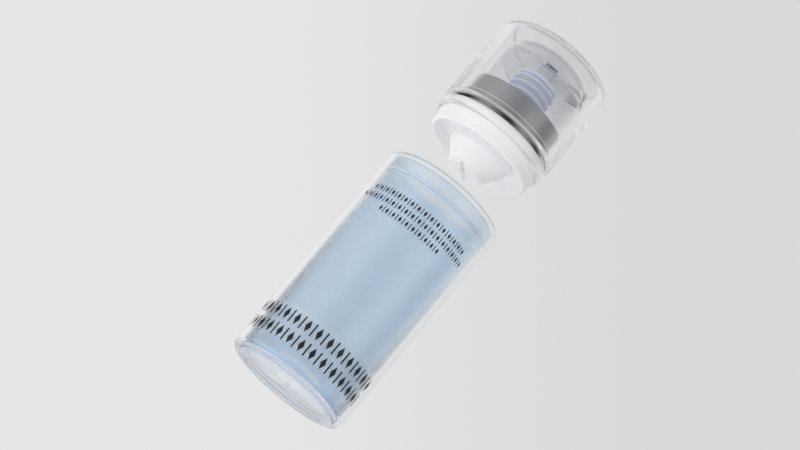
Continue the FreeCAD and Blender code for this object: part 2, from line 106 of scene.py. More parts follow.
class BottleSizes(PropertyGroup):
    """Walls, bores and roundings of the moulded and drawn pieces."""
    edge: length("Moulded edge", "Rounding of a moulded piece's small edges", 0.15)
    rest_gap: length("Resting gap", "Air between two pieces that rest on each other", 0.03)
    fit_gap: length("Fitted gap", "Air between two pieces that are pressed together", 0.03)
    bottle_draft: length("Bottle draft", "How much slimmer the foot is, on the radius", 0.5)
    bottle_wall: length("Bottle wall", "Outer bottle's wall at the mouth", 2.35)
    bottle_base_wall: length("Bottle foot wall", "Outer bottle's wall at the foot", 2.1)
    bottle_floor: length("Bottle floor", "Thickness of the outer bottle's floor", 1.3)
    foot_recess: length("Foot recess", "How far the floor stands clear of the table", 0.5)
    foot_ring: length("Foot ring", "Width of the ring that the bottle stands on", 3.4)
    foot_rounding: length("Foot rounding", "Rounding of the foot's outer edge", 1.8)
    lip_rounding: length("Lip rounding", "Rounding of the mouth's two edges", 0.9)
    foot_vent: length("Foot vent", "Radius of the hole in the floor", 0.8)
    liner_clearance: length("Liner clearance", "Air between the liner and the outer bottle", 0.2)
    liner_wall: length("Liner wall", "Wall of the liner's tube", 0.9)
    liner_neck_wall: length("Liner neck wall", "Wall of the liner's wider neck", 0.55)
    deep_end: length("Deep end", "Height of the deeper blue at the liner's two ends", 0.8)
    gasket_rounding: length("Gasket rounding", "Rounding of the gasket's top", 0.26)
    lip_relief: length("Follower waist", "How far the follower's waist is drawn in", 0.45)
    follower_lip: length("Follower lip", "Height of the follower's wiping lips", 1.6)
    follower_wall: length("Follower wall", "Wall of the follower's cup", 1.2)
    follower_web: length("Follower web", "Thickness of the follower's web", 1.4)
    follower_well: length("Follower well", "Radius of the well that takes the inlet tip", 7.4)
    well_wall: length("Well wall", "Wall of the follower's well", 0.9)
    shoulder_low: length("Shoulder rounding", "Lower rounding of the clear shoulder ring", 1.3)
    shoulder_high: length("Shoulder top rounding", "Upper rounding of the shoulder ring", 0.3)
    cap_wall: length("Overcap wall", "Wall of the overcap", 3.1)
    cap_draft: length("Overcap draft", "How much slimmer the crown is, on the radius", 0.2)
    cap_top: length("Overcap top", "Thickness of the overcap's top", 1.3)
    cap_outer_rounding: length("Crown rounding", "Outer rounding of the crown", 3.0)
    cap_inner_rounding: length("Inner crown rounding", "Inner rounding of the crown", 2.2)
    cap_rim_rounding: length("Overcap rim", "Rounding of the overcap's rim", 0.4)
    gate_mark: length("Gate mark", "Radius of the dimple where the overcap was filled", 0.9)
    gate_depth: length("Gate depth", "Depth of that dimple", 0.12)
    trim_bore: length("Trim bore", "Inner radius of the trim band", 18.23)
    trim_rounding: length("Trim rounding", "Rounding of the trim band's edges", 0.2)
    sleeve_wall: length("Sleeve wall", "Wall of the metal sleeve", 0.4)
    sleeve_foot: length("Sleeve foot", "Height of the sleeve's wider foot", 5.27)
    sleeve_step: length("Sleeve step", "How far the sleeve is drawn in above its foot", 0.8)
    skirt_radius: length("Skirt", "Outer radius of the collar's skirt", 19.0)
    skirt_wall: length("Skirt wall", "Wall of the collar's skirt", 1.3)
    skirt_chamfer: length("Skirt lead-in", "Chamfer on the skirt's lower edge", 0.5)
    collar_step_drop: length("Collar step", "Height of the collar's step below the seat", 1.67)
    upstand_wall: length("Upstand wall", "Wall of the ring inside the metal sleeve", 0.77)
    snap_wall: length("Snap ring wall", "Wall of the ring that holds the pump's bowl", 1.1)
    snap_height: length("Snap ring height", "Height of that ring", 2.0)
    snap_lip: length("Snap lip", "How far its lip reaches over the bowl's flange", 0.3)
    snap_slot: length("Snap slot", "Width of the slots in the snap ring", 2.4)
    bowl_flange: length("Bowl flange", "Thickness of the bowl's flange", 1.0)
    bowl_flange_width: length("Flange width", "How far the bowl's flange stands out", 0.8)
    cage_hole: length("Cage hole", "Radius of the inlet cage's hole", 2.0)
    cage_slot_width: length("Cage slot", "Width of the slots in the inlet cage", 1.6)
    cage_slot_depth: length("Cage slot depth", "Depth of the slots in the inlet cage", 0.8)
    cage_plug: length("Cage plug", "Height of the plug in the funnel's mouth", 0.9)
    cage_rounding: length("Cage rounding", "Rounding of the inlet cage's face", 0.35)
    port: length("Port", "Radius of the port in the chamber's floor", 1.6)
    chamber_floor: length("Chamber floor", "Thickness of the chamber's floor", 1.2)
    print_lift: length("Ink lift", "How far the ink starts above the plastic", 0.008)
    print_thickness: length("Ink thickness", "Thickness of the printed ink", 0.02)
    low_print: length("Lower print", "Height of the lower print's middle", 11.8)
    low_print_pitch: length("Lower print pitch", "Distance between its two rows", 6.1)
    print_turn: turn_of("Print turn", "How far the prints' middle lies left of the camera", 6)
    low_mark_turn: turn_of("Large mark pitch", "Turn from one large mark to the next", 5.8)
    high_mark_turn: turn_of("Small mark pitch", "Turn from one small mark to the next", 3.4)
    low_mark_height: length("Large mark height", "Height of the large marks", 4.6)
    low_mark_width: length("Large mark width", "Width of the large lozenges", 1.9)
    low_stroke: length("Large stroke", "Width of the large strokes", 0.55)
    high_print: length("Upper print", "Height of the upper print's middle row", 63.0)
    high_print_pitch: length("Upper print pitch", "Distance between its three rows", 3.2)
    high_mark_height: length("Small mark height", "Height of the small marks", 2.3)
    high_mark_width: length("Small mark width", "Width of the small lozenges", 1.0)
    high_stroke: length("Small stroke", "Width of the small strokes", 0.32)
    collar_web: length("Collar web", "Thickness of the web round the pump", 1.4)
    bowl: length("Bowl", "Outer radius of the pump's bowl", 11.2)
    bowl_depth: length("Bowl depth", "Height of the bowl under the collar's seat", 5.2)
    bowl_wall: length("Bowl wall", "Wall of the bowl and the funnel", 1.2)
    tip: length("Funnel tip", "Radius of the funnel's lower end", 6.9)
    tip_height: length("Funnel tip height", "Height of the funnel's straight end", 0.4)
    hem_highlight_height: length("Hem highlight height", "Height of the highlight painted at the sleeve's step", 0.9)
    tube: length("Chamber tube", "Outer radius of the chamber's tube", 6.8)
    chamber: length("Chamber", "Radius of the pump's chamber", 5.6)
    bellows_root: length("Bellows root", "Outer radius at the bellows' roots", 5.7)
    bellows_wall: length("Bellows wall", "Wall of the bellows", 0.7)
    bellows_end: length("Bellows end ring", "Height of the bellows' end rings", 1.1)
    bellows_top: length("Bellows top ring", "Radius of the bellows' upper ring", 7.5)
    press_travel: length("Press travel", "How far the actuator is pressed down", 4.0)
    bellows_rounding: length("Fold rounding", "Rounding of the bellows' folds", 0.34)


class BottleFinishes(PropertyGroup):
    """Colours of the bottle's plastics, metals and ink."""
    clear: colour_of("Clear plastic", "Tint of the clear shells", "FCFDFE")
    foot: colour_of("Thick foot", "Tint of the outer bottle's thick foot", "E9F1FD")
    pump_clear: colour_of("Pump's clear plastic", "Tint of the actuator and the stem", "F4F4F5")
    liner: colour_of("Liner", "Tint of the blue liner", "E5F1FC")
    liner_deep: colour_of("Liner's ends", "Deeper blue along the liner's wall", "C9DFF3")
    follower: colour_of("Follower", "Colour of the milky follower", "F4F8FC")
    # Painted shade: a bluer, darker colour for the recessed web of the follower.
    web_shade: colour_of("Web shade", "Painted shade on the follower's recessed web", "E2EDF9")
    disc_rim: colour_of("Disc rim", "Colour of the base disc's thin rim", "C6DAEE")
    white: colour_of("White plastic", "Colour of the collar and the pump", "F6F6F8")
    bellows: colour_of("Bellows", "Tint of the bellows spring", "EBF2FB")
    bright_metal: colour_of("Bright metal", "Colour of the polished trim", "C8C9CB")
    satin_metal: colour_of("Satin metal", "Colour of the drawn sleeve", "B0B1B3")
    # A painted highlight: near-white colour for the band at the sleeve's step.
    hem_highlight: colour_of("Hem highlight", "Colour painted along the sleeve's step as its highlight", "F4F4F4")
    ink: colour_of("Ink", "Colour of the printed marks", "1B2633")


class StageSettings(PropertyGroup):
    """Where the camera stands and how the stage is lit."""
    camera_distance: length("Camera distance", "From the bottle's axis", 708)
    camera_azimuth: turn_of("Camera azimuth", "Round the bottle, from the front", 20)
    camera_elevation: turn_of("Camera elevation", "Below the horizon if negative", -16.5)
    camera_roll: turn_of("Camera roll", "Turn about the line of sight", 40.04)
    target_height: length("Target height", "Height that the camera looks at", 64.6)
    target_offset: length("Target offset", "How far it looks left of the axis", 4.96)
    lens: FloatProperty(name="Lens", description="Focal length in millimetres", default=99)
    floor_width: length("Floor width", "Side of the studio floor", 12000)
    floor_height: length("Floor height", "Level of the studio floor", -400)


def add_node(tree, kind, settings=None, values=None, links=None):
    """Adds a shader node with its settings, its sockets' plain values and the links into it."""
    node = tree.nodes.new("ShaderNode" + kind)
    for name, value in (settings or {}).items():
        setattr(node, name, value)
    for socket, value in (values or {}).items():
        node.inputs[socket].default_value = value
    for socket, source in (links or {}).items():
        tree.links.new(source, node.inputs[socket])
    return node


def new_material(name):
    """Returns an empty material and its node tree."""
    material = bpy.data.materials.new(name)
    material.use_nodes = True
    material.node_tree.nodes.clear()
    return material, material.node_tree


def finished(material, values, links):
    """Gives a material its surface and returns it."""
    tree = material.node_tree
    shader = add_node(tree, "BsdfPrincipled", values=values, links=links)
    add_node(tree, "OutputMaterial", links={"Surface": shader.outputs[0]})
    return material


def object_position(tree):
    """Returns the socket that holds a point's place on the object, in metres."""
    return add_node(tree, "TexCoord").outputs["Object"]


def grain(tree, size, stretch=(1, 1, 1), detail=2.0):
    """Returns noise whose grains have a real size on the object, drawn out along chosen axes."""
    scale = tuple(1 / (size * share) for share in stretch)
    place = add_node(tree, "Mapping", values={"Scale": scale},
                     links={"Vector": object_position(tree)})
    return add_node(tree, "TexNoise", values={"Scale": 1.0, "Detail": detail},
                    links={"Vector": place.outputs["Vector"]}).outputs["Fac"]


def between(tree, noise, low, high):
    """Spreads the middle of a noise over a range of values."""
    noise_low = 0.3
    noise_high = 0.7
    return add_node(tree, "MapRange",
                    values={"From Min": noise_low, "From Max": noise_high, "To Min": low, "To Max": high},
                    links={"Value": noise}).outputs[0]


def blend(tree, factor, first, second):
    """Blends two colours, either of which may come from another node."""
    values = {}
    links = {0: factor}
    for socket, colour in ((6, first), (7, second)):
        if isinstance(colour, bpy.types.NodeSocket):
            links[socket] = colour
        else:
            values[socket] = (*colour, 1)
    return add_node(tree, "Mix", {"data_type": "RGBA"}, values, links).outputs[2]


def grey(level):
    """Returns a neutral colour of a level."""
    return (level, level, level)


def mottled(tree, noise, colour, share):
    """Returns a colour that a noise darkens by up to a share."""
    darker = tuple(level * (1 - share) for level in colour)
    return blend(tree, between(tree, noise, 0, 1), colour, darker)


def relief(tree, noise, strength, depth):
    """Returns the shading of a fine relief of a real depth."""
    return add_node(tree, "Bump", values={"Strength": strength, "Distance": depth},
                    links={"Height": noise}).outputs["Normal"]


def fade(tree, place, start, end, first, last):
    """Returns a level that changes softly from the first to the last between two places."""
    return add_node(tree, "MapRange", {"interpolation_type": "SMOOTHSTEP"},
                    {"From Min": start, "From Max": end, "To Min": first, "To Max": last},
                    {"Value": place}).outputs[0]


def axial_place(tree, kind):
    """Returns a point's height on the object, or its distance from the bottle's axis."""
    position = object_position(tree)
    if kind == "height":
        return add_node(tree, "SeparateXYZ", links={"Vector": position}).outputs["Z"]
    flat = add_node(tree, "VectorMath", {"operation": "MULTIPLY"}, {1: (1, 1, 0)}, {0: position})
    return add_node(tree, "VectorMath", {"operation": "LENGTH"},
                    links={0: flat.outputs[0]}).outputs["Value"]


def with_parts(tree, tint, parts):
    """Blends other colours in near chosen heights or radii, each in a band that fades out at its edges."""
    core_share = 0.3
    edge_share = 0.5
    for colour, kind, middle, width in parts:
        away = add_node(tree, "Math", {"operation": "SUBTRACT"}, {1: middle},
                        {0: axial_place(tree, kind)})
        distance = add_node(tree, "Math", {"operation": "ABSOLUTE"}, links={0: away.outputs[0]})
        nearness = fade(tree, distance.outputs[0], width * core_share, width * edge_share, 1.0, 0.0)
        tint = blend(tree, nearness, tint, colour)
    return tint


def clear_plastic(name, colour, ior, roughness=0.0, ripple=0.0, parts=()):
    """Injection-moulded clear plastic: sharp-edged, with faint flow marks, and deeper where it is thick."""
    material, tree = new_material(name)
    upright = (1, 1, 3)
    flow = grain(tree, 9 * MILLIMETRE, upright, detail=1.0)
    tint_share = 0.01
    dulling = 0.01
    ripple_depth = 0.1 * MILLIMETRE
    return finished(material, {"IOR": ior, "Transmission Weight": 1.0},
                    {"Base Color": with_parts(tree, mottled(tree, flow, colour, tint_share), parts),
                     "Roughness": between(tree, flow, roughness, roughness + dulling),
                     "Normal": relief(tree, flow, ripple, ripple_depth)})


def milky_plastic(name, colour, transmission=MILKY_TRANSMISSION, roughness=MILKY_ROUGHNESS, parts=()):
    """Unfilled polypropylene: faintly cloudy, lets light through and looks deeper in chosen parts."""
    material, tree = new_material(name)
    cloud = grain(tree, 4 * MILLIMETRE)
    tint_share = 0.025
    spread = 0.15
    return finished(material, {"IOR": POLYPROPYLENE_IOR, "Transmission Weight": transmission},
                    {"Base Color": with_parts(tree, mottled(tree, cloud, colour, tint_share), parts),
                     "Roughness": between(tree, cloud, roughness * (1 - spread), roughness * (1 + spread))})


def white_plastic(name, colour):
    """White pigmented polypropylene: a half-gloss skin with the mould's faint orange peel and flow marks."""
    material, tree = new_material(name)
    flow = grain(tree, 5 * MILLIMETRE)
    skin = grain(tree, 0.7 * MILLIMETRE)
    tint_share = 0.02
    glossy = 0.27
    dull = 0.38
    skin_strength = 0.1
    skin_depth = 0.02 * MILLIMETRE
    return finished(material, {"IOR": POLYPROPYLENE_IOR},
                    {"Base Color": mottled(tree, flow, colour, tint_share),
                     "Roughness": between(tree, skin, glossy, dull),
                     "Normal": relief(tree, skin, skin_strength, skin_depth)})


def metal(name, colour, roughness, stretch, parts=()):
    """Aluminium with the fine lines of drawing or polishing, with painted highlights blended in at chosen
    heights.
    """
    material, tree = new_material(name)
    # The lines are drawn wider than real ones, which are too fine to show.
    lines = grain(tree, 0.12 * MILLIMETRE, stretch)
    tint_share = 0.05
    spread = 0.2
    return finished(material, {"Metallic": 1.0},
                    {"Base Color": with_parts(tree, mottled(tree, lines, colour, tint_share), parts),
                     "Roughness": between(tree, lines, roughness * (1 - spread), roughness * (1 + spread))})


def printed_ink(name, colour):
    """Screen-printed ink: dense, with a faint grain from the mesh of the screen."""
    material, tree = new_material(name)
    mesh = grain(tree, 0.12 * MILLIMETRE)
    tint_share = 0.15
    glossy = 0.35
    dull = 0.5
    return finished(material, {},
                    {"Base Color": mottled(tree, mesh, colour, tint_share),
                     "Roughness": between(tree, mesh, glossy, dull)})


def painted_floor(name, level):
    """Matt studio paint with the soft mottle of a roller."""
    material, tree = new_material(name)
    mottle = grain(tree, 40 * MILLIMETRE)
    tint_share = 0.01
    roughness = 0.9
    return finished(material, {"Roughness": roughness},
                    {"Base Color": mottled(tree, mottle, grey(level), tint_share)})


def dress(node_names, material):
    """Gives CAD nodes a finish."""
    for name in node_names:
        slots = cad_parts[name].data.materials
        slots.clear()
        slots.append(material)


def reach(node):
    """Returns a node's outer radius, its foot and its top, in metres."""
    low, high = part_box(node)
    return high[1], low[2], high[2]


def outline_point(corner):
    """Returns the place of an outline's corner on the plane through the bottle's axis."""
    return Vector((corner[0], 0, corner[1]))


def trace(name, corners):
    """Traces a closed outline from a single point by extruding it from corner to corner."""
    bpy.ops.object.select_all(action="DESELECT")
    bpy.ops.mesh.primitive_plane_add(size=MILLIMETRE, location=(0, 0, 0))
    piece = bpy.context.active_object
    piece.name = name
    piece.data.name = name
    bpy.ops.object.mode_set(mode="EDIT")
    bpy.ops.mesh.select_mode(type="VERT")
    bpy.ops.mesh.select_all(action="SELECT")
    bpy.ops.mesh.merge(type="CENTER")
    bpy.ops.transform.translate(value=outline_point(corners[0]))
    for before, after in zip(corners, corners[1:] + corners[:1]):
        step = outline_point(after) - outline_point(before)
        bpy.ops.mesh.extrude_vertices_move(TRANSFORM_OT_translate={"value": step})
    bpy.ops.mesh.select_all(action="SELECT")
    bpy.ops.mesh.remove_doubles(threshold=TRACE_TOLERANCE)
    return piece


def round_corner(piece, before, corner, after):
    """Rounds one corner of a traced outline with an arc that runs on into both sides."""
    place = outline_point(corner)
    to_before = (outline_point(before) - place).normalized()
    to_after = (outline_point(after) - place).normalized()
    tangent_length = corner[2] / math.tan(to_before.angle(to_after) / 2)
    outline = bmesh.from_edit_mesh(piece.data)
    for point in outline.verts:
        point.select = (point.co - place).length < TRACE_TOLERANCE
    outline.select_flush_mode()
    bmesh.update_edit_mesh(piece.data)
    segments = EDGE_SEGMENTS if corner[2] < SMALL_ROUNDING else ROUNDING_SEGMENTS
    bpy.ops.mesh.bevel(offset_type="OFFSET", offset=tangent_length, segments=segments, profile=0.5,
                       affect="VERTICES")


def turned_piece(name, corners, steps=SPIN_STEPS):
    """Turns an outline of (radius, height, rounding) corners; one without the third has an edge's."""
    edge = bpy.context.scene.bottle_sizes.edge
    corners = [corner if len(corner) == 3 else (*corner, edge) for corner in corners]
    piece = trace(name, corners)
    for index, corner in enumerate(corners):
        if corner[2] > 0:
            round_corner(piece, corners[index - 1], corner, corners[(index + 1) % len(corners)])
    bpy.ops.mesh.select_all(action="SELECT")
    bpy.ops.mesh.spin(steps=steps, angle=2 * math.pi, center=(0, 0, 0), axis=(0, 0, 1))
    bpy.ops.mesh.select_all(action="SELECT")
    bpy.ops.mesh.remove_doubles(threshold=TRACE_TOLERANCE)
    bpy.ops.mesh.delete_loose(use_verts=True, use_edges=True, use_faces=False)
    bpy.ops.mesh.select_all(action="SELECT")
    bpy.ops.mesh.normals_make_consistent(inside=False)
    bpy.ops.object.mode_set(mode="OBJECT")
    bpy.ops.object.shade_smooth_by_angle(angle=SMOOTH_ANGLE)
    return piece


def select_only(pieces):
    """Selects these pieces alone and makes the first one active."""
    bpy.ops.object.select_all(action="DESELECT")
    for piece in pieces:
        piece.select_set(True)
    bpy.context.view_layer.objects.active = pieces[0]


def ring_of_copies(piece, angles):
    """Copies a piece to angles round the bottle's axis, with a mesh for each, and joins them."""
    copies = []
    for angle in angles:
        select_only([piece])
        bpy.ops.object.duplicate()
        bpy.ops.transform.rotate(value=-angle, orient_axis="Z", center_override=(0, 0, 0))
        copies.append(bpy.context.active_object)
    select_only([piece])
    bpy.ops.object.delete()
    select_only(copies)
    if len(copies) > 1:
        bpy.ops.object.join()
    bpy.ops.object.transform_apply()
    return bpy.context.active_object


def round_slots(count, start, end, width, low, high):
    """Returns a star of blocks that cuts slots outwards from the bottle's axis."""
    bpy.ops.object.select_all(action="DESELECT")
    bpy.ops.mesh.primitive_cube_add(size=1, location=((start + end) / 2, 0, (low + high) / 2))
    bpy.ops.transform.resize(value=(end - start, width, high - low))
    block = bpy.context.active_object
    bpy.ops.object.transform_apply()
    return ring_of_copies(block, [2 * math.pi * step / count for step in range(count)])


def cut_away(piece, cutter):
    """Cuts one piece out of another and removes the cutter."""
    select_only([piece])
    modifier = piece.modifiers.new("slots", "BOOLEAN")
    modifier.object = cutter
    modifier.operation = "DIFFERENCE"
    modifier.solver = "EXACT"
    bpy.ops.object.modifier_apply(modifier=modifier.name)
    select_only([cutter])
    bpy.ops.object.delete()
    select_only([piece])
    bpy.ops.object.mode_set(mode="EDIT")
    bpy.ops.mesh.select_all(action="SELECT")
    bpy.ops.mesh.remove_doubles(threshold=TRACE_TOLERANCE)
    bpy.ops.mesh.dissolve_degenerate(threshold=TRACE_TOLERANCE)
    bpy.ops.object.mode_set(mode="OBJECT")
    bpy.ops.object.shade_smooth_by_angle(angle=SMOOTH_ANGLE)


def fit_piece(piece, material, node, body):
    """Gives a piece its finish and lets it stand for a CAD node on its body."""
    piece.data.materials.append(material)
    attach(piece, body)
    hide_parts(node)


def let_light_in(pieces):
    """Lets soft light reach what lies behind clear pieces without losing itself in their walls."""
    for piece in pieces:
        piece.visible_diffuse = False


class BOTTLE_OT_outer_bottle(Operator):
    """Turns the clear outer bottle and its shoulder ring"""
    bl_idname = "bottle.outer_bottle"
    bl_label = "Outer bottle"

    def execute(self, context):
        sizes = context.scene.bottle_sizes
        mouth, ground, top = reach("outer_bottle")
        base = mouth - sizes.bottle_draft
        ring = base - sizes.foot_ring
        floor_top = sizes.foot_recess + sizes.bottle_floor
        finishes = context.scene.bottle_finishes
        clear = clear_plastic("moulded clear polypropylene", finishes.clear, CLEAR_IOR)
        thick_foot = (finishes.foot, "height", ground, 2 * (floor_top + sizes.edge))
        walls = clear_plastic("thick clear polypropylene", finishes.clear, CLEAR_IOR, parts=[thick_foot])
        bottle = turned_piece("clear_bottle", [
            (sizes.foot_vent, sizes.foot_recess),
            (ring - sizes.foot_recess, sizes.foot_recess),
            (ring, ground),
            (base, ground, sizes.foot_rounding),
            (mouth, top, sizes.lip_rounding),
            (mouth - sizes.bottle_wall, top, sizes.lip_rounding),
            (base - sizes.bottle_base_wall, floor_top),
            (sizes.foot_vent, floor_top),
        ], FINE_SPIN_STEPS)
        fit_piece(bottle, walls, "outer_bottle", "bottle")
        shoulder, seat, shoulder_top = reach("shoulder_ring")
        bore = reach("collar")[0] + sizes.fit_gap
        ring_piece = turned_piece("clear_shoulder_ring", [
            (bore, seat),
            (shoulder, seat, sizes.shoulder_low),
            (shoulder, shoulder_top, sizes.shoulder_high),
            (bore, shoulder_top),
        ])
        fit_piece(ring_piece, clear, "shoulder_ring", "pump_head")
        let_light_in([bottle, ring_piece])
        return {"FINISHED"}


class BOTTLE_OT_inner_bottle(Operator):
    """Turns the liner, the follower and the gasket, and finishes the disc under them"""
    bl_idname = "bottle.inner_bottle"
    bl_label = "Inner bottle"

    def execute(self, context):
        sizes = context.scene.bottle_sizes
        finishes = context.scene.bottle_finishes
        ends = reach("inner_liner")[1:]
        deep_ends = [(finishes.liner_deep, "height", end, sizes.deep_end) for end in ends]
        transmission = 0.95
        roughness = 0.12
        blue = milky_plastic("tinted polypropylene", finishes.liner, transmission, roughness, deep_ends)
        milky = milky_plastic("natural polypropylene", finishes.follower)
        self.liner(sizes, blue)
        self.follower(sizes, finishes)
        bore, bottom, top = reach("neck_gasket")
        inner = self.liner_bore(sizes)
        gasket = turned_piece("seal_ring", [
            (inner, bottom, 0),
            (bore, bottom, 0),
            (bore, top, sizes.gasket_rounding),
            (inner, top, sizes.gasket_rounding),
        ])
        fit_piece(gasket, milky, "neck_gasket", "bottle")
        dress(["chamber_piston", "outlet_valve"], milky)
        disc = reach("base_disc")[0]
        rim_share = 0.4
        rim = (finishes.disc_rim, "radius", disc, disc * rim_share)
        pale = milky_plastic("natural polypropylene, thin rim", finishes.follower, parts=[rim])
        dress(["base_disc"], pale)
        let_light_in([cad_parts["base_disc"]])
        return {"FINISHED"}

    def liner_bore(self, sizes):
        """Returns the radius of the tube's bore."""
        base = reach("outer_bottle")[0] - sizes.bottle_draft
        return base - sizes.bottle_base_wall - sizes.liner_clearance - sizes.liner_wall

    def liner(self, sizes, material):
        """Turns the blue tube with its ledge and its wider neck."""
        neck, bottom, top = reach("inner_liner")
        bore = self.liner_bore(sizes)
        tube = bore + sizes.liner_wall
        neck_bore = neck - sizes.liner_neck_wall
        ledge = reach("neck_gasket")[1] - sizes.rest_gap
        neck_bottom = ledge - sizes.liner_wall
        piece = turned_piece("blue_liner", [
            (bore, bottom),
            (tube, bottom),
            (tube, neck_bottom + tube - neck),
            (neck, neck_bottom),
            (neck, top),
            (neck_bore, top),
            (neck_bore, ledge),
            (bore, ledge),
        ], FINE_SPIN_STEPS)
        fit_piece(piece, material, "inner_liner", "bottle")
        let_light_in([piece])

    def follower(self, sizes, finishes):
        """Turns the follower with its two wiping lips and its well."""
        lip, bottom, top = reach("follower_piston")
        waist = lip - sizes.lip_relief
        cup = waist - sizes.follower_wall
        web_share = 0.38
        web_bottom = bottom + (top - bottom) * web_share
        web_top = web_bottom + sizes.follower_web
        well = sizes.follower_well
        boss = well + sizes.well_wall
        lower_lip = bottom + sizes.follower_lip
        upper_lip = top - sizes.follower_lip
        soft = 2 * sizes.edge
        softer = 3 * sizes.edge
        piece = turned_piece("milky_follower", [
            (0, bottom, 0),
            (boss, bottom, soft),
            (boss, web_bottom, softer),
            (cup, web_bottom, softer),
            (cup, bottom),
            (lip, bottom, soft),
            (lip, lower_lip),
            (waist, lower_lip + sizes.lip_relief, soft),
            (waist, upper_lip - sizes.lip_relief, soft),
            (lip, upper_lip),
            (lip, top),
            (waist, top),
            (cup, upper_lip, soft),
            (cup, web_top, softer),
            (well, web_top, soft),
            (well, bottom + sizes.follower_web, softer),
            (0, bottom + sizes.follower_web, 0),
        ])
        # The web between the boss and the cup's wall is painted bluer and darker: painted shade in that
        # recess.
        fade_share = 1.1
        web_shade = (finishes.web_shade, "radius", (boss + cup) / 2, (cup - boss) * fade_share)
        milky = milky_plastic("natural polypropylene, painted web shade", finishes.follower, parts=[web_shade])
        fit_piece(piece, milky, "follower_piston", "follower")


